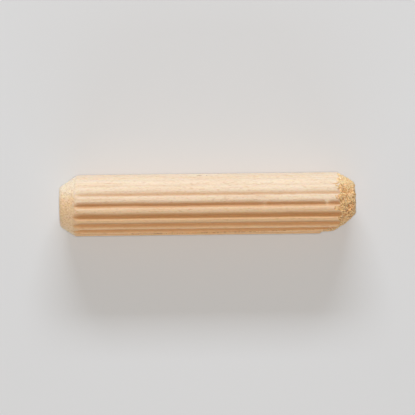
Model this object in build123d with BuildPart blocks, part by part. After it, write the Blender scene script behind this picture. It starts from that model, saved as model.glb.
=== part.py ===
from build123d import *
import math
import os

# A fluted wooden dowel pin, 8 x 40 mm, in millimetres.
# The axis of the pin lies along X and the origin is half-way along it.
# The pin lies as it would on a table: one flute faces straight up and one straight down,
# so that it rests on two neighbouring crests.
# The end at -X has a clean bevel. The end at +X has a torn bevel, and beside it, on the -Y side,
# the outermost crest has broken away and taken the corner of the end with it.

# Shank
pin_length = 40.0
crest_diameter = 8.2

# Flutes: straight V grooves with a rounded root, pressed along the whole shank
flute_count = 18
flute_depth = 0.36
flute_angle = 72.0
flute_root_radius = 0.10
crest_edge_radius = 0.05

# Clean end at -X: the bevel, the flat face that it leaves, and the rounded edges of both
clean_bevel_length = 2.3
clean_face_diameter = 5.2
clean_rim_radius = 0.7
clean_shoulder_radius = 0.8

# Torn end at +X: the same forms
torn_bevel_length = 2.4
torn_face_diameter = 5.3
torn_rim_radius = 0.6
torn_shoulder_radius = 0.3

# Break: a steep step down from the crests, a shelf that deepens slowly, and a steep corner at the torn end.
# Its direction is the way that the break faces, turned from straight up towards -Y.
break_direction = 86.0
break_length = 4.8
break_step = 0.2
break_step_angle = 50.0
break_shelf_slope = 8.0
break_corner_length = 2.7
break_corner_slope = 35.0

# Gouges in the torn end, where the grain tore out: slender, pointed at both ends and set along a spiral,
# close enough to leave ridges between them. Their heading is the way that the wood tore, turned from
# the line straight to the pin's axis, and it swings to either side from one gouge to the next.
# Seen from the end, a crowding of 0.5 spreads them evenly, and a smaller one crowds them on the bevel.
gouge_count = 38
gouge_reach = 3.85
gouge_crowding = 0.4
gouge_spiral_step = 137.5
gouge_length = 3.2
gouge_width = 0.84
gouge_depth = 0.2
gouge_heading = 35.0
gouge_heading_swing = 28.0

crest_radius = crest_diameter / 2
clean_end_x = -pin_length / 2
torn_end_x = pin_length / 2

# A flute's straight walls would meet a little below its rounded root
half_flute_angle = math.radians(flute_angle / 2)
flute_apex_depth = flute_depth + flute_root_radius * (1 / math.sin(half_flute_angle) - 1)

# Cutting shapes reach this far past the surface that they cut
cut_overshoot = crest_radius / 4

with BuildPart() as dowel_pin:
    # The fluted section, drawn at the clean end and carried along the whole pin
    with BuildSketch(Plane.YZ.offset(clean_end_x)) as fluted_section:
        # The circle starts at the top flute, so that its seam is cut away with it
        with Locations(Location((0, 0, 0), (0, 0, 90))):
            Circle(crest_radius)
        with PolarLocations(crest_radius, flute_count, start_angle=90):
            flute_half_width = (flute_apex_depth + cut_overshoot) * math.tan(half_flute_angle)
            Polygon(
                (-flute_apex_depth, 0),
                (cut_overshoot, -flute_half_width),
                (cut_overshoot, flute_half_width),
                align=None,
                mode=Mode.SUBTRACT,
            )
        fillet(fluted_section.vertices().group_by(SortBy.DISTANCE)[0], flute_root_radius)
        fillet(fluted_section.vertices().group_by(SortBy.DISTANCE)[-1], crest_edge_radius)
    extrude(amount=pin_length)

    # The turned outline that both ends are bevelled to: the flutes run out where it dips below their roots
    clean_rim = (clean_end_x, clean_face_diameter / 2)
    clean_shoulder = (clean_end_x + clean_bevel_length, crest_radius)
    torn_shoulder = (torn_end_x - torn_bevel_length, crest_radius)
    torn_rim = (torn_end_x, torn_face_diameter / 2)
    with BuildSketch(Plane.XZ) as turned_outline:
        with BuildLine():
            Polyline(
                (clean_end_x, 0),
                clean_rim,
                clean_shoulder,
                torn_shoulder,
                torn_rim,
                (torn_end_x, 0),
                close=True,
            )
        make_face()
        for corner, corner_radius in (
            (clean_rim, clean_rim_radius),
            (clean_shoulder, clean_shoulder_radius),
            (torn_shoulder, torn_shoulder_radius),
            (torn_rim, torn_rim_radius),
        ):
            fillet(turned_outline.vertices().sort_by_distance(corner)[0], corner_radius)
    revolve(axis=Axis.X, mode=Mode.INTERSECT)

    # The lost wood, drawn in the plane that holds the axis and the middle of the break:
    # across the sketch is the distance in from the torn end, and up the sketch is the distance from the axis
    facing = math.radians(break_direction)
    break_plane = Plane(origin=(torn_end_x, 0, 0), x_dir=(-1, 0, 0), z_dir=(0, math.cos(facing), math.sin(facing)))
    step_run = 1 / math.tan(math.radians(break_step_angle))
    step_foot = break_length - break_step * step_run
    shelf_height = crest_radius - break_step
    shelf_fall = math.tan(math.radians(break_shelf_slope))
    corner_height = shelf_height - (step_foot - break_corner_length) * shelf_fall
    corner_fall = math.tan(math.radians(break_corner_slope))
    with BuildSketch(break_plane):
        with BuildLine():
            Polyline(
                (break_length + cut_overshoot * step_run, crest_radius + cut_overshoot),
                (step_foot, shelf_height),
                (break_corner_length, corner_height),
                (-cut_overshoot, corner_height - (break_corner_length + cut_overshoot) * corner_fall),
                (-cut_overshoot, crest_radius + cut_overshoot),
                close=True,
            )
        make_face()
    extrude(amount=crest_radius, both=True, mode=Mode.SUBTRACT)

    # One gouge is a spindle: a shallow arc turned about its chord
    with BuildPart(mode=Mode.PRIVATE) as gouge:
        with BuildSketch(Plane.XZ):
            with BuildLine():
                gouge_tips = Line((-gouge_length / 2, 0), (gouge_length / 2, 0))
                ThreePointArc(gouge_tips @ 0, (0, gouge_width / 2), gouge_tips @ 1)
            make_face()
        revolve(axis=Axis.X)

    # The gouges cover the torn face, the bevel and the broken corner, and each lies on the deepest of the three
    torn_face_radius = torn_face_diameter / 2
    bevel_run = torn_bevel_length / (crest_radius - torn_face_radius)
    corner_run = 1 / corner_fall
    corner_way = Vector(0, -math.sin(facing), math.cos(facing))
    corner_face_height = corner_height - break_corner_length * corner_fall
    for number in range(gouge_count):
        distance = gouge_reach * ((number + 0.5) / gouge_count) ** gouge_crowding
        turn = math.radians(number * gouge_spiral_step)
        away = Vector(0, -math.sin(turn), math.cos(turn))
        depth_on_bevel = (distance - torn_face_radius) * bevel_run
        depth_on_corner = (distance * away.dot(corner_way) - corner_face_height) * corner_run
        depth = max(0, depth_on_bevel, depth_on_corner)
        if depth == 0:
            outward = Vector(1, 0, 0)
        elif depth == depth_on_bevel:
            outward = (away * bevel_run + Vector(1, 0, 0)).normalized()
        else:
            outward = (corner_way * corner_run + Vector(1, 0, 0)).normalized()
        on_surface = Vector(torn_end_x - depth, 0, 0) + away * distance
        inward = outward.cross(Vector(1, 0, 0).cross(away))
        swing = gouge_heading_swing * math.sin(3 * turn)
        heading = inward.rotate(Axis(on_surface, outward), gouge_heading + swing)
        gouge_plane = Plane(on_surface + outward * (gouge_width / 2 - gouge_depth), x_dir=heading, z_dir=outward)
        with Locations(gouge_plane):
            add(gouge.part, mode=Mode.SUBTRACT)

    # Slivers that neighbouring gouges cut free fall away
    add(dowel_pin.solids().sort_by(SortBy.VOLUME)[-1], mode=Mode.REPLACE)

dowel_pin.part.label = "dowel_pin"

os.makedirs("parts", exist_ok=True)
export_step(dowel_pin.part, "parts/dowel_pin.step")
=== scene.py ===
import math

import bpy
import numpy as np
from bpy.props import FloatProperty, FloatVectorProperty, IntProperty, PointerProperty
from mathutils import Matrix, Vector


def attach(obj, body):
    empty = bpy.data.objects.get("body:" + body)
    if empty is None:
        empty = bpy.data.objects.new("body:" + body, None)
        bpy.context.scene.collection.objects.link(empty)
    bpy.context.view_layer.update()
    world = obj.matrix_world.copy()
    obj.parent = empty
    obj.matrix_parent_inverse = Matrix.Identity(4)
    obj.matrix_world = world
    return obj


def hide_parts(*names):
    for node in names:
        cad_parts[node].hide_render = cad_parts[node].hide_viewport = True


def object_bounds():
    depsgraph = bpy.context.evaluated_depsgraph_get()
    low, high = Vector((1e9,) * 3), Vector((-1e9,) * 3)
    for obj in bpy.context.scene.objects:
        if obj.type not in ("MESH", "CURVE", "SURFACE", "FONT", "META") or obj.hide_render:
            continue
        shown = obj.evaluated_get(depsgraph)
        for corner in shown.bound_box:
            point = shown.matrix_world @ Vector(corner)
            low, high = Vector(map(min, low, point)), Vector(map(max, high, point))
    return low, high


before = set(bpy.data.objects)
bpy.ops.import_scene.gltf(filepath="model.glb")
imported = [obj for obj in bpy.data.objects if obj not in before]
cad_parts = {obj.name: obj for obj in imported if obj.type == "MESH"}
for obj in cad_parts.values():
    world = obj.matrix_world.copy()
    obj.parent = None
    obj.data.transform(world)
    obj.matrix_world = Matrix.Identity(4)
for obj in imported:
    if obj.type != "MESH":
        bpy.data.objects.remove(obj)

bl_info = {
    "name": "Fluted Dowel Pin",
    "version": (1, 0, 0),
    "blender": (4, 5, 0),
    "location": "3D View > Sidebar > Dowel Pin",
    "description": "Makes a fluted birch dowel pin with a torn end, and a plain stage to look at it on",
    "category": "Add Mesh",
}

# Millimetres to metres
MM = 0.001

# The solid that the visible wood stands for, and its box
DOWEL_NODE = "dowel_pin"
BOX_LOW, BOX_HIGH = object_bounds()
PIN_LENGTH = BOX_HIGH[0] - BOX_LOW[0]
CREST_RADIUS = (BOX_HIGH[1] - BOX_LOW[1]) / 2
# The wood's fine streaks reach a hair below the solid's lowest point, and the floor lies under them
FLOOR_HEIGHT = BOX_LOW[2] - 0.02 * MM

# The flutes are deepest on the side that faces this way, turned from straight up towards -Y
DEEP_SIDE = math.radians(82)
# The place round the pin from which the squeeze of the flutes is counted, turned the same way
SQUEEZE_START = math.radians(30)
# Two slivers of wood that partly bridge the uppermost flute: their places along the pin and their reach
SLIVERS = ((7.6 * MM, 0.30 * MM), (16.1 * MM, 0.35 * MM))
# The crests stand this far proud of the solid's, before their edges are rounded
CREST_LIFT = 0.06 * MM
# The clean rim and shoulder, and the torn shoulder and rim
EDGE_ROUNDINGS = (0.7 * MM, 0.8 * MM, 0.3 * MM, 0.9 * MM)
COLUMNS_PER_FLUTE = 20

# Each seed gives its noise, or the strands, a pattern of its own
WANDER_SEED, DEPTH_SEED, FINE_WANDER_SEED = 11, 12, 13
RAGGED_SEED, TUFT_SEED, STREAK_SEED, STIPPLE_SEED = 21, 31, 41, 45
STRAND_SEED = 61


def linear(hex_colour):
    """An sRGB hex colour, such as "d5d5d5", as linear red, green, blue and alpha."""
    channels = [int(hex_colour[i : i + 2], 16) / 255 for i in (0, 2, 4)]
    return tuple(c / 12.92 if c <= 0.04045 else ((c + 0.055) / 1.055) ** 2.4 for c in channels) + (1.0,)


class DowelShape(bpy.types.PropertyGroup):
    """The sizes of the pin's visible form."""

    flute_count: IntProperty(name="Flutes", description="Number of flutes round the pin", default=18, min=3)
    flute_depth: FloatProperty(
        name="Flute Depth",
        description="Depth of the deepest flutes below the crests",
        default=0.46 * MM,
        unit="LENGTH",
    )
    shallow_share: FloatProperty(
        name="Shallow Share",
        description="Depth of the shallowest flutes, on the light side, as a share of the deepest",
        default=0.30,
        min=0,
        max=1,
    )
    flute_turn: FloatProperty(
        name="Flute Turn",
        description="How far the whole ring of flutes is turned from straight up, towards the shaded side",
        default=math.radians(1.8),
        subtype="ANGLE",
    )
    flute_squeeze: FloatProperty(
        name="Flute Squeeze",
        description="How far the fluting tool pushed the flutes out of their even places",
        default=math.radians(2.2),
        subtype="ANGLE",
    )
    flute_lean: FloatProperty(
        name="Flute Lean",
        description="Share by which the wall towards the light side is wider, and the other one narrower",
        default=0.33,
        min=0,
        max=1,
    )
    flute_half_width: FloatProperty(
        name="Flute Half Width",
        description="From a flute's root to where its wall ends, as the mean of both walls",
        default=0.50 * MM,
        unit="LENGTH",
    )
    flute_root_rounding: FloatProperty(
        name="Flute Root Rounding",
        description="How softly a flute's root is rounded",
        default=0.05 * MM,
        unit="LENGTH",
    )
    crest_rounding: FloatProperty(
        name="Crest Rounding",
        description="How softly a crest turns into a flute",
        default=0.05 * MM,
        unit="LENGTH",
    )
    clean_bevel_length: FloatProperty(
        name="Clean Bevel Length",
        description="Length of the bevel at the clean end",
        default=2.3 * MM,
        unit="LENGTH",
    )
    clean_face_diameter: FloatProperty(
        name="Clean Face Diameter",
        description="Flat face at the clean end",
        default=5.2 * MM,
        unit="LENGTH",
    )
    torn_bevel_length: FloatProperty(
        name="Torn Bevel Length",
        description="Length of the bevel at the torn end",
        default=2.4 * MM,
        unit="LENGTH",
    )
    torn_face_diameter: FloatProperty(
        name="Torn Face Diameter",
        description="Face at the torn end",
        default=5.3 * MM,
        unit="LENGTH",
    )
    break_direction: FloatProperty(
        name="Break Direction",
        description="The way that the break faces, turned from straight up towards the shaded side",
        default=math.radians(86),
        subtype="ANGLE",
    )
    break_length: FloatProperty(
        name="Break Length",
        description="Length of the break beside the torn end",
        default=4.8 * MM,
        unit="LENGTH",
    )
    break_step: FloatProperty(
        name="Break Step",
        description="Depth of the step where the break begins",
        default=0.3 * MM,
        unit="LENGTH",
    )
    break_step_angle: FloatProperty(
        name="Break Step Angle",
        description="Steepness of that step",
        default=math.radians(50),
        subtype="ANGLE",
    )
    break_shelf_slope: FloatProperty(
        name="Break Shelf Slope",
        description="Slope of the shelf behind it",
        default=math.radians(8),
        subtype="ANGLE",
    )
    break_corner_length: FloatProperty(
        name="Break Corner Length",
        description="Length of the steep lost corner",
        default=2.7 * MM,
        unit="LENGTH",
    )
    break_corner_slope: FloatProperty(
        name="Break Corner Slope",
        description="Slope of the lost corner",
        default=math.radians(35),
        subtype="ANGLE",
    )
    gouge_count: IntProperty(name="Gouges", description="Number of gouges in the torn end", default=38, min=0)
    gouge_reach: FloatProperty(
        name="Gouge Reach",
        description="Distance of the farthest gouge from the axis",
        default=3.85 * MM,
        unit="LENGTH",
    )
    gouge_crowding: FloatProperty(
        name="Gouge Crowding",
        description="0.5 spreads them evenly, less crowds them on the bevel",
        default=0.4,
    )
    gouge_spiral_step: FloatProperty(
        name="Gouge Spiral Step",
        description="Turn from one gouge to the next",
        default=math.radians(137.5),
        subtype="ANGLE",
    )
    gouge_length: FloatProperty(
        name="Gouge Length",
        description="Length of the spindle that a gouge follows",
        default=3.2 * MM,
        unit="LENGTH",
    )
    gouge_width: FloatProperty(
        name="Gouge Width",
        description="Width of that spindle",
        default=0.84 * MM,
        unit="LENGTH",
    )
    gouge_depth: FloatProperty(
        name="Gouge Depth",
        description="How far it dips into the wood",
        default=0.2 * MM,
        unit="LENGTH",
    )
    gouge_heading: FloatProperty(
        name="Gouge Heading",
        description="The way that the wood tore, turned from the line straight to the axis",
        default=math.radians(35),
        subtype="ANGLE",
    )
    gouge_heading_swing: FloatProperty(
        name="Gouge Heading Swing",
        description="How far the heading swings from one gouge to the next",
        default=math.radians(28),
        subtype="ANGLE",
    )
    tear_depth: FloatProperty(
        name="Tear Depth",
        description="Fine roughness of the torn wood",
        default=0.10 * MM,
        unit="LENGTH",
    )
    strand_count: IntProperty(
        name="Torn Strands",
        description="Number of loose fibres on the torn wood",
        default=1700,
        min=1,
    )


class DowelFinish(bpy.types.PropertyGroup):
    """The colours of the wood."""

    # The wood's colour with painted light, used towards the top and the lit side
    lit_side_wood: FloatVectorProperty(
        name="Pale Wood",
        description="The cream side of the pin",
        subtype="COLOR",
        size=4,
        default=linear("ead6bc"),
    )
    # The wood's colour with painted shade, used towards the shaded side
    shaded_side_wood: FloatVectorProperty(
        name="Honey Wood",
        description="The darker side of the pin",
        subtype="COLOR",
        size=4,
        default=linear("e6bc8d"),
    )
    # Partly the pressed wood's darker colour, partly painted shade in the flutes
    pressed_wood_and_flute_shade: FloatVectorProperty(
        name="Pressed Wood",
        description="The bottom of the flutes",
        subtype="COLOR",
        size=4,
        default=linear("ba7c3c"),
    )
    end_wood: FloatVectorProperty(
        name="End Grain",
        description="The clean bevel and face",
        subtype="COLOR",
        size=4,
        default=linear("efcca2"),
    )
    torn_wood: FloatVectorProperty(
        name="Torn Wood",
        description="The torn bevel and the break",
        subtype="COLOR",
        size=4,
        default=linear("ffd69c"),
    )
    # Painted shade in the gouged pits and on the shaded side of the torn wood, and the darker of the fibres'
    # own tones
    torn_shade: FloatVectorProperty(
        name="Torn Shade",
        description="The pits of the torn wood",
        subtype="COLOR",
        size=4,
        default=linear("dc9c5e"),
    )


class DowelStage(bpy.types.PropertyGroup):
    """The floor, the light and the camera."""

    view_width: FloatProperty(
        name="View Width",
        description="Width of the picture where the pin lies",
        default=56.2 * MM,
        unit="LENGTH",
    )
    camera_height: FloatProperty(
        name="Camera Height",
        description="Height of the camera above the pin",
        default=500 * MM,
        unit="LENGTH",
    )
    camera_roll: FloatProperty(
        name="Camera Roll",
        description="Turn of the camera about its view",
        default=math.radians(-0.67),
        subtype="ANGLE",
    )
    floor_colour: FloatVectorProperty(
        name="Floor",
        description="Colour of the plain floor",
        subtype="COLOR",
        size=4,
        default=linear("d6d5d4"),
    )
    dome_level: FloatProperty(
        name="Dome Level",
        description="Share of the floor's light that comes evenly from all round",
        default=0.16,
    )
    overhead_level: FloatProperty(
        name="Overhead Level",
        description="Share of the floor's light that comes from above",
        default=0.52,
    )
    key_level: FloatProperty(
        name="Key Level",
        description="Share of the floor's light that rakes in from the light side",
        default=0.32,
    )
    fill_level: FloatProperty(
        name="Fill Level",
        description="Share of the floor's light that rakes in from the shaded side",
        default=0.07,
    )


def add_node(tree, kind, settings=None, links=None):
    """Adds a node, sets its sockets and properties by name or number, links its inputs and returns it."""
    node = tree.nodes.new(kind)
    for name, value in (settings or {}).items():
        if isinstance(name, int) or name in node.inputs:
            node.inputs[name].default_value = value
        else:
            setattr(node, name, value)
    for name, source in (links or {}).items():
        tree.links.new(source, node.inputs[name])
    return node


def noise(points, feature_size, seed):
    """Gradient noise from -1 to 1.

    Each corner of a grid of cubes has a random direction, picked by a hash of the corner's place. A point's
    value is the product of that direction with the way from the corner, blended between the cube's eight
    corners by 6t^5 - 15t^4 + 10t^3.
    """
    hash_primes = (73856093, 19349663, 83492791)
    directions = np.random.default_rng(seed).normal(size=(256, 3))
    directions /= np.linalg.norm(directions, axis=1, keepdims=True)
    scaled = np.asarray(points) / feature_size
    cell = np.floor(scaled).astype(np.int64)
    inside = scaled - cell
    blend = inside**3 * (inside * (inside * 6 - 15) + 10)
    total = np.zeros(inside.shape[:-1])
    for corner in np.ndindex(2, 2, 2):
        picked = np.bitwise_xor.reduce((cell + corner) * hash_primes, axis=-1) % len(directions)
        weight = np.prod(np.where(corner, blend, 1 - blend), axis=-1)
        total += weight * np.sum(directions[picked] * (inside - corner), axis=-1)
    return total * 1.6


def layered_noise(points, feature_size, seed, layers=3):
    """Noise at a feature size and at its halves, each half as strong as the one before."""
    return sum(noise(points, feature_size / 2**i, seed + i) / 2**i for i in range(layers))


def smoothstep(low, high, value):
    """0 at low, 1 at high, and 3t^2 - 2t^3 between. It falls instead of rising where low is the greater."""
    t = np.clip((value - low) / (high - low), 0, 1)
    return t * t * (3 - 2 * t)


def lesser(a, b, softness):
    """The lesser of two heights, with the corner between them rounded.

    It is (a + b - sqrt((a - b)^2 + softness^2)) / 2.
    """
    return (a + b - np.sqrt((a - b) ** 2 + softness**2)) / 2


def make_object(name, points, faces, material, attributes=None):
    """A mesh object at the origin, smooth shaded, with named point attributes."""
    mesh = bpy.data.meshes.new(name)
    mesh.from_pydata(points.reshape(-1, 3).tolist(), [], faces)
    mesh.shade_smooth()
    for label, values in (attributes or {}).items():
        layer = mesh.attributes.new(label, "FLOAT", "POINT")
        layer.data.foreach_set("value", np.asarray(values, np.float32).ravel())
    mesh.materials.append(material)
    mesh.validate()
    piece = bpy.data.objects.new(name, mesh)
    bpy.context.scene.collection.objects.link(piece)
    return piece


def tube_faces(rings, sides):
    """Quads between rings of points that close on themselves, with a fan of triangles to a point at each end.

    The points are numbered ring by ring, then the start point, then the end point.
    """
    ring, side = np.meshgrid(np.arange(rings - 1), np.arange(sides), indexing="ij")
    turned = (side + 1) % sides
    near, far = ring * sides, (ring + 1) * sides
    quads = np.stack((near + side, near + turned, far + turned, far + side), axis=-1)
    side = np.arange(sides)
    turned = (side + 1) % sides
    start = np.stack((np.full(sides, rings * sides), turned, side), axis=-1)
    last = (rings - 1) * sides
    end = np.stack((np.full(sides, rings * sides + 1), last + side, last + turned), axis=-1)
    return quads.reshape(-1, 4).tolist() + start.tolist() + end.tolist()


def rounded_outline(corners, radii, arc_steps=24):
    """Straight lines through the corners, each inner corner replaced by an arc that touches both lines."""
    corners = np.asarray(corners, float)
    points = [corners[:1]]
    for before, corner, after, radius in zip(corners, corners[1:], corners[2:], radii):
        inward = (before - corner) / np.linalg.norm(before - corner)
        onward = (after - corner) / np.linalg.norm(after - corner)
        half_angle = math.acos(np.clip(inward @ onward, -1, 1)) / 2
        middle = inward + onward
        centre = corner + middle / np.linalg.norm(middle) * radius / math.sin(half_angle)
        start = corner + inward * radius / math.tan(half_angle) - centre
        stop = corner + onward * radius / math.tan(half_angle) - centre
        swing = math.pi - 2 * half_angle
        t = np.linspace(0, 1, arc_steps)[:, None]
        points.append(centre + (np.sin((1 - t) * swing) * start + np.sin(t * swing) * stop) / math.sin(swing))
    points.append(corners[-1:])
    return np.concatenate(points)


def spaced_rows(outline, spacing_at):
    """Points along an outline, as far apart as spacing_at(x) says, with the outline's direction at each."""
    steps = np.linalg.norm(np.diff(outline, axis=0), axis=1)
    length = np.concatenate(([0], np.cumsum(steps)))
    fine = np.linspace(0, length[-1], 20000)
    x = np.interp(fine, length, outline[:, 0])
    density = np.concatenate(([0], np.cumsum(1 / spacing_at(x[1:]) * np.diff(fine))))
    rows = np.interp(np.linspace(0, density[-1], int(density[-1])), density, fine)
    ahead = np.clip(rows + fine[1], 0, length[-1])
    behind = np.clip(rows - fine[1], 0, length[-1])
    place = np.stack([np.interp(rows, length, outline[:, i]) for i in (0, 1)], axis=1)
    way = np.stack([np.interp(ahead, length, c) - np.interp(behind, length, c) for c in outline.T], axis=1)
    return place, way / np.linalg.norm(way, axis=1, keepdims=True)


def around(radius, angle):
    """Y and Z of a point at a radius, turned by an angle from straight up towards -Y."""
    return -radius * np.sin(angle), radius * np.cos(angle)


def deep_side(angle):
    """1 where the flutes are deepest and 0 on the light side, eased by the cosine of the angle between."""
    return smoothstep(-0.70, 0.35, np.cos(angle - DEEP_SIDE))


def fluted_radius(shape, x, angle):
    """The radius of the fluted shank.

    A flute is a V: its depth falls in a straight line with the distance along the circle from its root.
    The distance is replaced by the root of its square plus a small square, which rounds the root, and the
    depth by the soft greater of itself and nothing, which rounds the crest's edges. The wall towards the
    light side is the wider one. The flutes are squeezed out of even places by the cosine of three times
    their angle. The rod lay off-centre when it was fluted, so they are shallow on one side. Noise along the
    pin lets them wander a little and vary in depth. They fade at the clean end, and slivers of wood partly
    bridge the uppermost one, each a bell curve. Where two neighbours meet, the deeper one counts.
    """
    pitch = 2 * math.pi / shape.flute_count
    turned = angle - shape.flute_turn
    share = shape.shallow_share + (1 - shape.shallow_share) * deep_side(angle)
    fade = 0.35 + 0.65 * smoothstep(1.6 * MM, 3.2 * MM, x + PIN_LENGTH / 2)
    full_depth = shape.flute_depth * share * fade

    def squeezed(place):
        return shape.flute_squeeze * np.cos(3 * (place - SQUEEZE_START))

    def cut_by(flute):
        number = flute % shape.flute_count
        # The noise is stretched eightfold along the pin, and each flute reads a line of its own in it
        along = np.stack(np.broadcast_arrays(x / 8, number * 3 * MM, 0 * x), axis=-1)
        slow_wander = noise(along, 1 * MM, WANDER_SEED) * 0.03 * MM
        wander = slow_wander + noise(along, 0.16 * MM, FINE_WANDER_SEED) * 0.02 * MM
        arc = (turned - flute * pitch - squeezed(flute * pitch)) * CREST_RADIUS + wander
        soft_arc = np.sqrt(arc**2 + shape.flute_root_rounding**2)
        half_width = shape.flute_half_width * (1 - shape.flute_lean * arc / soft_arc)
        soft_arc = soft_arc - shape.flute_root_rounding
        depth = full_depth * (1 + 0.10 * noise(along, 0.6 * MM, DEPTH_SEED))
        for place, reach in SLIVERS:
            depth = depth * (1 - 0.45 * (number == 0) * np.exp(-(((x - place) / reach) ** 2)))
        return -lesser(-depth * (1 - soft_arc / half_width), 0, shape.crest_rounding)

    nearest = np.round(turned / pitch)
    cut = np.maximum(cut_by(nearest), np.maximum(cut_by(nearest - 1), cut_by(nearest + 1)))
    return CREST_RADIUS + CREST_LIFT - cut


def broken_corner(shape):
    """How far from the axis the shelf of the break ends, and how far the corner would be at the torn end."""
    step_foot = shape.break_length - shape.break_step / math.tan(shape.break_step_angle)
    shelf_fall = (step_foot - shape.break_corner_length) * math.tan(shape.break_shelf_slope)
    height = CREST_RADIUS - shape.break_step - shelf_fall
    return height, height - shape.break_corner_length * math.tan(shape.break_corner_slope)


def break_radius(shape, x, angle):
    """How far out the wood reaches where the outermost crest broke away.

    In the plane through the axis that the break faces, a steep step leads down from the crests, a shelf
    slopes gently from its foot, and a steep corner slopes down to the torn end. All three run on as flat
    faces on either side of that plane, as far as they face outwards.
    """
    least_facing = 0.05
    inward = PIN_LENGTH / 2 - x
    height, end_height = broken_corner(shape)
    step = CREST_RADIUS + (inward - shape.break_length) * math.tan(shape.break_step_angle)
    shelf = height + (inward - shape.break_corner_length) * math.tan(shape.break_shelf_slope)
    corner = end_height + inward * math.tan(shape.break_corner_slope)
    reach = np.minimum(np.maximum(step, shelf), corner)
    facing = np.cos(angle - shape.break_direction)
    return np.where(facing > least_facing, reach / np.maximum(facing, least_facing), 20 * CREST_RADIUS)


def gouge_frames(shape):
    """The middle of each gouge's spindle and its heading, its sideways and its outward direction.

    Seen from the end, the gouges lie on a spiral whose distance from the axis is a power of their number.
    Each lies on the torn face, the bevel or the broken corner, whichever is deepest there.
    """
    along = np.array((1.0, 0, 0))
    face_radius = shape.torn_face_diameter / 2
    bevel_run = shape.torn_bevel_length / (CREST_RADIUS - face_radius)
    corner_run = 1 / math.tan(shape.break_corner_slope)
    corner_way = np.array((0, *around(1, shape.break_direction)))
    corner_height = broken_corner(shape)[1]
    for number in range(shape.gouge_count):
        distance = shape.gouge_reach * ((number + 0.5) / shape.gouge_count) ** shape.gouge_crowding
        turn = number * shape.gouge_spiral_step
        away = np.array((0, *around(1, turn)))
        candidates = (
            (0, along),
            ((distance - face_radius) * bevel_run, away * bevel_run + along),
            ((distance * away @ corner_way - corner_height) * corner_run, corner_way * corner_run + along),
        )
        depth, outward = max(candidates, key=lambda candidate: candidate[0])
        outward = outward / np.linalg.norm(outward)
        inward = np.cross(outward, np.cross(along, away))
        inward /= np.linalg.norm(inward)
        heading = shape.gouge_heading + shape.gouge_heading_swing * math.sin(3 * turn)
        heading = inward * math.cos(heading) + np.cross(outward, inward) * math.sin(heading)
        on_surface = along * (PIN_LENGTH / 2 - depth) + away * distance
        middle = on_surface + outward * (shape.gouge_width / 2 - shape.gouge_depth)
        yield middle, heading, np.cross(outward, heading), outward


def carve_gouges(shape, points, softness):
    """Pushes the points out of every gouge, and gives how deep each point went as a share of a gouge's depth.

    A gouge is a spindle: an arc turned about its chord. Its radius is the root of the arc's radius squared
    less the distance from its middle squared, less the distance from the arc's centre to the chord. A point
    inside moves inwards until it lies on the far side. A small square under a root softens the edges.
    """
    half_width = shape.gouge_width / 2
    arc_radius = (shape.gouge_length**2 / 4 + half_width**2) / (2 * half_width)
    depth = np.zeros(points.shape[:-1])
    for middle, heading, sideways, outward in gouge_frames(shape):
        away = points - middle
        a, b, c = away @ heading, away @ sideways, away @ outward
        radius = np.sqrt(np.maximum(arc_radius**2 - a**2, 0)) - (arc_radius - half_width)
        inside = (np.abs(a) < shape.gouge_length / 2) & (np.abs(b) < half_width) & (np.abs(c) < half_width)
        gap = c + np.sqrt(np.maximum(np.maximum(radius, 0) ** 2 - b**2, 0))
        cut = np.where(inside, (gap + np.sqrt(gap**2 + softness**2)) / 2, 0)
        points = points - cut[..., None] * outward
        depth += cut
    return points, np.clip(depth / shape.gouge_depth, 0, 1)


def torn_bevel_start(shape):
    """Where the torn end begins, a little before its bevel and the broken corner."""
    return PIN_LENGTH / 2 - shape.break_corner_length - 0.3 * MM


def pin_rows(shape):
    """The rows of the pin's surface: their places on the turned outline, and its direction at each.

    The outline runs from pole to pole, round the clean face, its bevel, the shank, the torn bevel and its
    face, with an arc at each corner. The rows stand closest where the wood is torn.
    """
    half = PIN_LENGTH / 2
    outline = rounded_outline(
        (
            (-half, 0),
            (-half, shape.clean_face_diameter / 2),
            (-half + shape.clean_bevel_length, CREST_RADIUS),
            (half - shape.torn_bevel_length, CREST_RADIUS),
            (half, shape.torn_face_diameter / 2),
            (half, 0),
        ),
        EDGE_ROUNDINGS,
    )
    clean_gap, shank_gap, break_gap, torn_gap = 0.11 * MM, 0.36 * MM, 0.09 * MM, 0.052 * MM
    clean_to = -half + shape.clean_bevel_length + 0.5 * MM
    break_from = half - shape.break_length - 0.3 * MM
    torn_from = torn_bevel_start(shape)

    def spacing_at(x):
        shank = np.where(x > break_from, break_gap, shank_gap)
        return np.where(x > torn_from, torn_gap, np.where(x < clean_to, clean_gap, shank))

    place, way = spaced_rows(outline, spacing_at)
    return place[1:-1, None], way[1:-1, None]


def pin_columns(shape):
    """The angles of the surface's columns: even steps less a sine, which crowds them into the flutes."""
    pitch = 2 * math.pi / shape.flute_count
    share = np.arange(COLUMNS_PER_FLUTE) / COLUMNS_PER_FLUTE
    share = share - 0.09 * np.sin(2 * math.pi * share)
    return (np.arange(shape.flute_count)[:, None] + share).ravel()[None, :] * pitch + shape.flute_turn


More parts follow.
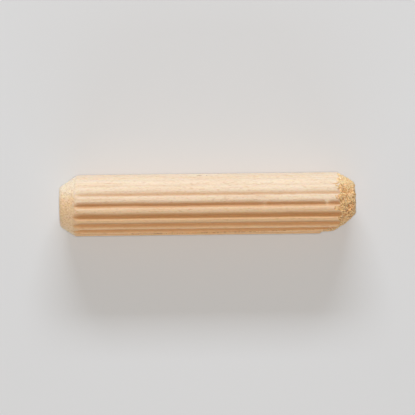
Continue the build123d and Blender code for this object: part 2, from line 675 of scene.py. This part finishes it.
def worn_radius(shape, x, turned, across, angle):
    """The pin's radius, and that of its fluted shank alone.

    It is the softly least of the turned outline, the fluted shank and the break. The turned outline is
    ragged on the torn bevel and slightly askew on the clean one, and it is lifted with the crests everywhere
    but on the torn bevel. The break's faces are ragged too, and round off towards the end.
    """
    half = PIN_LENGTH / 2
    torn_from = torn_bevel_start(shape)
    ragged = layered_noise(np.stack((x, *around(turned, angle)), axis=-1), 0.9 * MM, RAGGED_SEED)
    on_bevel = np.abs(across) < 0.9
    askew = 0.14 * MM * np.sin(angle) * smoothstep(-half + 4 * MM, -half + 1 * MM, x)
    turned_radius = turned + ragged * 0.09 * MM * smoothstep(torn_from, torn_from + 0.5 * MM, x)
    turned_radius = turned_radius + askew * on_bevel * smoothstep(1.5 * MM, 3 * MM, turned)
    turned_radius = turned_radius + CREST_LIFT * smoothstep(torn_from + 0.7 * MM, torn_from + 0.2 * MM, x)
    broken = break_radius(shape, x + ragged * 0.12 * MM, angle)
    broken = broken - 0.22 * MM * smoothstep(half - 0.6 * MM, half, x)
    fluted = fluted_radius(shape, x, angle)
    return lesser(lesser(turned_radius, fluted, 0.04 * MM), broken, 0.03 * MM), fluted


def make_dowel_surface(shape):
    """The whole pin as a surface of two parameters, the way along its outline and the angle round it.

    The radius at each comes from worn_radius, and the gouges are pushed in. The surface then moves along its
    normal: by long fine streaks on the shank, by a light stipple on the clean end and by fine ridges on the
    torn wood, where the face is also slightly domed. The point attributes say where the wood is torn, where
    it is clean end grain, how brown the flutes are, partly the pressed wood's colour and partly painted
    shade, and how light the torn fibres are, with painted shade in the gouges.
    """
    place, way = pin_rows(shape)
    angle = pin_columns(shape)
    x = place[..., 0] + 0 * angle
    onward, across = way[..., 0], way[..., 1]
    radius, fluted = worn_radius(shape, x, place[..., 1], across, angle)

    removed = fluted - radius
    cut_away = smoothstep(0.02 * MM, 0.07 * MM, removed)
    torn = cut_away * (x > 0)
    clean = smoothstep(0, 0.30 * MM, removed) * (x < 0)
    # Partly the pressed wood's darker colour and partly painted shade: the walls of the deep flutes, on the
    # shaded side, are browned lightly right from their edges, and the roots strongly
    below = CREST_RADIUS - fluted
    walls = 0.3 * deep_side(angle) * smoothstep(0, 0.05 * MM, below)
    flute = (walls + 0.7 * smoothstep(0.03 * MM, 0.26 * MM, below)) * (1 - cut_away)

    points = np.stack((x, *around(radius, angle)), axis=-1)
    tuft = 1 - 2 * np.abs(layered_noise(points * (0.6, 1, 1), 0.34 * MM, TUFT_SEED))
    tear = shape.tear_depth * (tuft - 0.8)
    streak = layered_noise(points / (40, 1, 1), 0.16 * MM, STREAK_SEED, 2) * 0.010 * MM
    stipple = layered_noise(points / (2, 1, 1), 0.22 * MM, STIPPLE_SEED, 2) * 0.022 * MM
    lift = tear * torn + stipple * clean + streak * (1 - cut_away)
    points, gouged = carve_gouges(shape, points, 0.04 * MM)
    # The normal of the turned outline: across it on the bevels and faces, straight out on the shank
    points[..., 0] += lift * -across
    points[..., 1:] += (lift * onward)[..., None] * np.stack(around(1, angle + 0 * x), axis=-1)
    # The rim of the torn face falls back, which leaves it slightly domed
    points[..., 0] -= 0.12 * MM * torn * -across * smoothstep(1 * MM, 2.8 * MM, radius)

    # Darker in the gouges by painted shade; the tuft noise varies the fibres' own tone
    shade = 0.8 * (1 - gouged) * smoothstep(-0.4, 1, tuft)
    return points, {"torn": torn, "clean": clean, "flute": flute, "shade": shade}


def close_surface(points, attributes):
    """Adds a pole at each end of a surface of rings, and flattens its points and attributes."""
    poles = np.array([points[0].mean(axis=0), points[-1].mean(axis=0)])
    flat = {}
    for name, values in attributes.items():
        flat[name] = np.append(values.ravel(), (values[0].mean(), values[-1].mean()))
    return np.concatenate((points.reshape(-1, 3), poles)), tube_faces(*points.shape[:2]), flat


def make_strands(surface, torn, count, seed):
    """Torn fibres: tapered, curling strands that lie on the torn wood.

    A strand starts at a random torn point. Its path runs over the surface with a heading that turns
    steadily, most of them askew to the pin's axis, the way that the cutter turned. Its height above the
    surface is a parabola, so it bows out, or rises towards a loose tip. Its cross-section is an ellipse
    whose width follows the root of a half sine along the strand.
    """
    random = np.random.default_rng(seed)
    rows, columns = surface.shape[:2]
    # Wider rings hold their points farther apart, and the last two rows are too near the pole
    weight = ((torn > 0.9) * np.linalg.norm(surface[..., 1:], axis=-1)).ravel()
    weight[-2 * columns :] = 0
    picked = random.choice(weight.size, count, p=weight / weight.sum())
    row, column = picked // columns, picked % columns

    # The path, in rows and columns of the surface
    steps, sides = 7, 5
    t = np.linspace(0, 1, steps)[None, :]
    length = random.uniform(0.5, 1.2, (count, 1)) * MM
    heading = math.radians(35) + random.normal(0, 0.7, (count, 1)) + random.normal(0, 1.3, (count, 1)) * t
    radius = np.linalg.norm(surface[row, column, 1:], axis=-1)[:, None]
    row_gap = np.linalg.norm(surface[row, column] - surface[row - 1, column], axis=-1)[:, None]
    row_path = row[:, None] + np.cumsum(np.cos(heading), axis=1) * length / steps / row_gap
    turn = np.cumsum(np.sin(heading), axis=1) * length / steps / np.maximum(radius, 0.5 * MM)
    column_path = column[:, None] + turn * columns / (2 * math.pi)
    low_row = np.clip(np.floor(row_path).astype(int), 1, rows - 3)
    low_column = np.floor(column_path).astype(int)
    part_row = np.clip(row_path - low_row, 0, 1)[..., None]
    part_column = (column_path - low_column)[..., None]

    def at(i, j):
        return surface[low_row + i, (low_column + j) % columns]

    # The same path in space, between the four nearest points of the surface, then lifted off it
    near = at(0, 0) * (1 - part_column) + at(0, 1) * part_column
    far = at(1, 0) * (1 - part_column) + at(1, 1) * part_column
    path = near * (1 - part_row) + far * part_row
    outward = np.cross(at(0, 3) - at(0, 0), at(2, 0) - at(0, 0))
    outward = outward.mean(axis=1, keepdims=True)
    outward /= np.linalg.norm(outward, axis=-1, keepdims=True)
    bow = random.uniform(0.00, 0.10, (count, 1)) * MM * 4 * t * (1 - t)
    tip = random.uniform(0.0, 0.16, (count, 1)) ** 2 / 0.16 * MM * t**2
    # Those on the flat face lie a little deeper, so that none reaches past the end
    sunk = 0.06 * MM * np.clip(outward[..., 0], 0, 1)
    path = path + outward * (bow + tip - sunk)[..., None]

    # The rings round the path, and a point at each end
    way = np.gradient(path, axis=1)
    way /= np.linalg.norm(way, axis=-1, keepdims=True) + 1e-12
    across = np.cross(way, outward)
    across /= np.linalg.norm(across, axis=-1, keepdims=True) + 1e-12
    width = random.uniform(0.05, 0.11, (count, 1)) * MM * np.sqrt(np.sin(math.pi * (0.06 + 0.88 * t)))
    swing = np.arange(sides) / sides * 2 * math.pi
    ring = path[:, :, None] + width[..., None, None] * (
        np.cos(swing)[:, None] * across[:, :, None] + 0.6 * np.sin(swing)[:, None] * outward[:, :, None]
    )
    ends = path[:, [0, -1]] + np.array([[-1], [1]]) * way[:, [0, -1]] * width[:, [0, -1], None]
    points = np.concatenate((ring.reshape(count, -1, 3), ends), axis=1)
    single = tube_faces(steps, sides)
    faces = [tuple(corner + i * points.shape[1] for corner in face) for i in range(count) for face in single]
    shade = np.repeat(random.uniform(0.3, 1, count), points.shape[1])
    return points.reshape(-1, 3), faces, {"torn": np.ones(len(shade)), "shade": shade}


def birch_material(finish):
    """Birch: pale, even, fine-grained wood, turned and then pressed to make the flutes.

    The eye gets a satin cream with faint long streaks and short brown pore dashes along the grain, warmer and
    darker in the flutes and the torn wood, partly by painted shade, lighter on the lit side and darker
    towards the shaded side by painted light and shade, and a little light that soaks in and comes out orange.
    """
    material = bpy.data.materials.new("birch_wood")
    material.use_nodes = True
    tree = material.node_tree
    shader = tree.nodes["Principled BSDF"]
    coordinates = add_node(tree, "ShaderNodeTexCoord").outputs["Object"]
    torn, clean, flute, shade = (
        add_node(tree, "ShaderNodeAttribute", {"attribute_name": name}).outputs["Fac"]
        for name in ("torn", "clean", "flute", "shade")
    )

    def grain(length_mm, width_mm, detail, low, high, seed):
        """Noise stretched along the grain, from 0 to 1 between two levels. The sizes are the marks' own."""
        across = 1 / (width_mm * MM)
        stretched = add_node(
            tree,
            "ShaderNodeMapping",
            {"Location": (seed, seed, seed), "Scale": (1 / (length_mm * MM), across, across)},
            {"Vector": coordinates},
        ).outputs["Vector"]
        settings = {"Scale": 1.0, "Detail": detail}
        pattern = add_node(tree, "ShaderNodeTexNoise", settings, {"Vector": stretched}).outputs["Fac"]
        settings = {"From Min": low, "From Max": high, "interpolation_type": "SMOOTHSTEP"}
        return add_node(tree, "ShaderNodeMapRange", settings, {"Value": pattern}).outputs["Result"]

    def mixed(factor, first, second):
        """One colour over another by a factor. Either colour may be a socket or a fixed colour."""
        settings = {"data_type": "RGBA"}
        links = {}
        for number, value in ((0, factor), (6, first), (7, second)):
            if isinstance(value, bpy.types.NodeSocket):
                links[number] = value
            else:
                settings[number] = value
        return add_node(tree, "ShaderNodeMix", settings, links).outputs[2]

    def scaled(value, factor):
        """A value times a number or another value."""
        links = {0: value}
        settings = {"operation": "MULTIPLY"}
        if isinstance(factor, bpy.types.NodeSocket):
            links[1] = factor
        else:
            settings[1] = factor
        return add_node(tree, "ShaderNodeMath", settings, links).outputs[0]

    def marked(colour, marks):
        """A colour under marks along the grain: for each, grain's six values, its strength and its colour."""
        for *pattern, strength, mark_colour in marks:
            colour = mixed(scaled(grain(*pattern), strength), colour, linear(mark_colour))
        return colour

    def layers(direction, cream_mm, honey_mm):
        """0 towards the light and 1 towards the shade, along a direction: for painted light and shade."""
        settings = {"operation": "DOT_PRODUCT", 1: direction}
        distance = add_node(tree, "ShaderNodeVectorMath", settings, {0: coordinates}).outputs["Value"]
        settings = {"From Min": cream_mm * MM, "From Max": honey_mm * MM, "interpolation_type": "SMOOTHSTEP"}
        return add_node(tree, "ShaderNodeMapRange", settings, {"Value": distance}).outputs["Result"]

    def curls(size_mm, reach):
        """1 along thin curling lines and 0 beside them: the lines on which a noise has its middle value."""
        settings = {"Scale": 1 / (size_mm * MM), "Detail": 1.0, "Distortion": 0.6}
        pattern = add_node(tree, "ShaderNodeTexNoise", settings, {"Vector": coordinates}).outputs["Fac"]
        away = add_node(tree, "ShaderNodeMath", {"operation": "SUBTRACT", 1: 0.5}, {0: pattern}).outputs[0]
        away = add_node(tree, "ShaderNodeMath", {"operation": "ABSOLUTE"}, {0: away}).outputs[0]
        settings = {"From Min": reach, "From Max": reach / 3}
        return add_node(tree, "ShaderNodeMapRange", settings, {"Value": away}).outputs["Result"]

    def mark(place_mm, half_size_mm):
        """1 in a small mark and 0 outside it."""
        settings = {"operation": "SUBTRACT", 1: [p * MM for p in place_mm]}
        away = add_node(tree, "ShaderNodeVectorMath", settings, {0: coordinates}).outputs["Vector"]
        settings = {"operation": "DIVIDE", 1: [s * MM for s in half_size_mm]}
        away = add_node(tree, "ShaderNodeVectorMath", settings, {0: away}).outputs["Vector"]
        distance = add_node(tree, "ShaderNodeVectorMath", {"operation": "LENGTH"}, {0: away}).outputs["Value"]
        settings = {"From Min": 1.2, "From Max": 0.6}
        return add_node(tree, "ShaderNodeMapRange", settings, {"Value": distance}).outputs["Result"]

    # Painted light and shade: cream at the top and on the lit side, honey-coloured towards the shaded side
    side = layers((0, 1, 0.75), 4.9, 0.6)
    wood = mixed(side, tuple(finish.lit_side_wood), tuple(finish.shaded_side_wood))
    # Broad soft bands, fine streaks, short flecks and sparse pore dashes, each along the grain
    wood = marked(
        wood,
        (
            (26, 1.1, 2, 0.35, 0.75, 3.1, 0.28, "e0b88e"),
            (7, 0.17, 3, 0.45, 0.75, 7.7, 0.36, "cf9f6e"),
            (0.45, 0.12, 2, 0.48, 0.70, 4.4, 0.28, "c89a68"),
            (0.9, 0.12, 1, 0.62, 0.74, 1.9, 0.50, "b98450"),
        ),
    )
    # The flutes' brown: partly the pressed wood's colour, partly painted shade
    wood = mixed(scaled(flute, 0.66), wood, tuple(finish.pressed_wood_and_flute_shade))
    # A brown dash and a dot on a crest of the lit side
    dash = mark((-1.09, 3.86, 1.4), (0.40, 0.06, 0.2))
    dot = mark((-0.07, 3.86, 1.4), (0.09, 0.06, 0.2))
    for stain in (dash, dot):
        wood = mixed(scaled(stain, 0.8), wood, linear("96683c"))
    # End grain with painted light: cream on the lit side and tan towards the shaded side, with fine brown
    # pore dots and soft darker flecks
    end = mixed(layers((0, 1, 0), 2.6, 0.1), linear("f8e5c8"), tuple(finish.end_wood))
    end = marked(
        end,
        (
            (0.30, 0.24, 2, 0.45, 0.65, 6.1, 0.30, "c4935f"),
            (1.2, 0.15, 2, 0.50, 0.68, 5.5, 0.38, "b5844f"),
        ),
    )
    wood = mixed(clean, wood, end)
    # Torn wood: pale orange fibres over brown hollows, painted shade; painted light makes it yellower on the
    # lit side
    torn_colour = mixed(shade, tuple(finish.torn_shade), tuple(finish.torn_wood))
    torn_colour = marked(torn_colour, ((0.30, 0.16, 3, 0.40, 0.65, 9.3, 0.35, "ffdcae"),))
    lit_torn_colour = mixed(0.5, torn_colour, linear("ffe0b0"))
    torn_colour = mixed(layers((0, 1, 0), 3.3, 1.4), lit_torn_colour, torn_colour)
    # Painted shade: the torn wood darkens a little towards the shaded side
    torn_colour = mixed(scaled(layers((0, 1, 0), 1.6, -0.8), 0.15), torn_colour, tuple(finish.torn_shade))
    # Painted shade: thin dark lines curl between the fibres, fewer on the lit side
    gap_shade = scaled(curls(0.6, 0.05), layers((0, 1, 0), 3.6, 0.6))
    torn_colour = mixed(scaled(gap_shade, 0.68), torn_colour, linear("8f5120"))
    wood = mixed(torn, wood, torn_colour)
    tree.links.new(wood, shader.inputs["Base Color"])

    # Fine relief: long streaks on the shank, and a speckle where the fibres end at the surface
    streaks = grain(5, 0.11, 4, 0.2, 0.8, 2.2)
    speckle = grain(0.16, 0.13, 3, 0.2, 0.8, 8.8)
    rough_share = add_node(tree, "ShaderNodeMath", {"operation": "ADD"}, {0: torn, 1: clean}).outputs[0]
    links = {0: rough_share, 2: streaks, 3: speckle}
    height = add_node(tree, "ShaderNodeMix", {"data_type": "FLOAT"}, links).outputs[0]
    bump = add_node(tree, "ShaderNodeBump", {"Strength": 0.6, "Distance": 0.03 * MM}, {"Height": height})
    tree.links.new(bump.outputs["Normal"], shader.inputs["Normal"])
    settings = {"To Min": 0.58, "To Max": 0.9}
    roughness = add_node(tree, "ShaderNodeMapRange", settings, {"Value": rough_share}).outputs["Result"]
    tree.links.new(roughness, shader.inputs["Roughness"])
    shader.inputs["IOR"].default_value = 1.5
    shader.inputs["Specular IOR Level"].default_value = 0.35
    # The finest fibres stand off the surface, so its edges catch a little more light
    shader.inputs["Sheen Weight"].default_value = 0.22
    shader.inputs["Sheen Roughness"].default_value = 0.35
    # Light soaks in by about a third of a millimetre, red the farthest
    shader.inputs["Subsurface Weight"].default_value = 0.25
    shader.inputs["Subsurface Radius"].default_value = (1.0, 0.5, 0.2)
    shader.inputs["Subsurface Scale"].default_value = 0.35 * MM
    return material


class DOWEL_OT_make_dowel(bpy.types.Operator):
    """Makes the fluted pin with its clean bevel, its torn bevel, the break and the torn fibres"""

    bl_idname = "dowel.make_dowel"
    bl_label = "Make Dowel"

    def execute(self, context):
        shape = context.scene.dowel_shape
        surface, attributes = make_dowel_surface(shape)
        wood = birch_material(context.scene.dowel_finish)
        points, faces, flat = close_surface(surface, attributes)
        dowel = make_object("dowel", points, faces, wood, flat)
        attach(dowel, "root")
        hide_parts(DOWEL_NODE)
        points, faces, flat = make_strands(surface, attributes["torn"], shape.strand_count, STRAND_SEED)
        fibres = make_object("torn_fibres", points, faces, wood, flat)
        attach(fibres, "root")
        return {"FINISHED"}


def add_lamp(name, rise, turn, distance, width, height, level, colour):
    """A rectangular lamp that faces the pin, at an angle above the floor and turned from +Y, both in degrees.

    level is the lamp's light on the floor, where 1 shows a colour as it is written. The power is that level,
    divided by the sine of the rise, times pi squared times the square of the distance.
    """
    rise, turn = math.radians(rise), math.radians(turn)
    way = Vector((-math.sin(turn) * math.cos(rise), math.cos(turn) * math.cos(rise), math.sin(rise)))
    lamp = bpy.data.lights.new(name, "AREA")
    lamp.shape = "RECTANGLE"
    lamp.size = width
    lamp.size_y = height
    lamp.color = colour
    lamp.energy = level / math.sin(rise) * math.pi**2 * distance**2
    holder = bpy.data.objects.new(name, lamp)
    holder.location = way * distance
    holder.rotation_euler = way.to_track_quat("Z", "Y").to_euler()
    bpy.context.scene.collection.objects.link(holder)


class DOWEL_OT_make_stage(bpy.types.Operator):
    """Makes the plain floor, the soft light and the camera that looks straight down"""

    bl_idname = "dowel.make_stage"
    bl_label = "Make Stage"

    def execute(self, context):
        scene = context.scene
        stage = scene.dowel_stage
        scene.view_settings.view_transform = "Standard"

        material = bpy.data.materials.new("matt_painted_board")
        material.use_nodes = True
        shader = material.node_tree.nodes["Principled BSDF"]
        shader.inputs["Base Color"].default_value = stage.floor_colour
        shader.inputs["Roughness"].default_value = 0.95
        shader.inputs["Specular IOR Level"].default_value = 0.0
        reach = 1.5
        corners = np.array([(-reach, -reach), (reach, -reach), (reach, reach), (-reach, reach)])
        points = np.column_stack((corners, np.full(4, FLOOR_HEIGHT)))
        floor = make_object("floor", points, [(0, 1, 2, 3)], material)

        world = bpy.data.worlds.new("soft_dome")
        world.use_nodes = True
        background = world.node_tree.nodes["Background"]
        background.inputs["Color"].default_value = linear("ffffff")
        background.inputs["Strength"].default_value = stage.dome_level
        scene.world = world
        add_lamp("overhead", 90, 0, 0.7, 0.06, 0.06, stage.overhead_level, (1.03, 0.97, 0.905))
        add_lamp("key", 27, 0, 0.6, 0.40, 0.10, stage.key_level, (0.90, 0.98, 1.08))
        add_lamp("fill", 14, 180, 0.6, 0.60, 0.12, stage.fill_level, (0.80, 1.00, 1.20))

        camera = bpy.data.cameras.new("camera")
        camera.sensor_width = 36
        camera.lens = camera.sensor_width * stage.camera_height / stage.view_width
        camera.clip_start = 0.01
        camera.clip_end = 10
        holder = bpy.data.objects.new("camera", camera)
        # The pin lies a little above the middle of the picture
        holder.location = (-0.01 * MM, -0.45 * MM, stage.camera_height)
        holder.rotation_euler = (0, 0, stage.camera_roll)
        scene.collection.objects.link(holder)
        scene.camera = holder
        return {"FINISHED"}


class VIEW3D_PT_dowel(bpy.types.Panel):
    """Lists the steps that make the pin and its stage"""

    bl_label = "Dowel Pin"
    bl_space_type = "VIEW_3D"
    bl_region_type = "UI"
    bl_category = "Dowel Pin"

    def draw(self, context):
        column = self.layout.column()
        column.operator("dowel.make_dowel")
        column.operator("dowel.make_stage")


CLASSES = (DowelShape, DowelFinish, DowelStage, DOWEL_OT_make_dowel, DOWEL_OT_make_stage, VIEW3D_PT_dowel)


def register():
    for cls in CLASSES:
        bpy.utils.register_class(cls)
    bpy.types.Scene.dowel_shape = PointerProperty(type=DowelShape)
    bpy.types.Scene.dowel_finish = PointerProperty(type=DowelFinish)
    bpy.types.Scene.dowel_stage = PointerProperty(type=DowelStage)


def unregister():
    for name in ("dowel_stage", "dowel_finish", "dowel_shape"):
        delattr(bpy.types.Scene, name)
    for cls in reversed(CLASSES):
        bpy.utils.unregister_class(cls)


def main():
    register()
    bpy.ops.dowel.make_stage()
    bpy.ops.dowel.make_dowel()


if __name__ == "__main__":
    main()
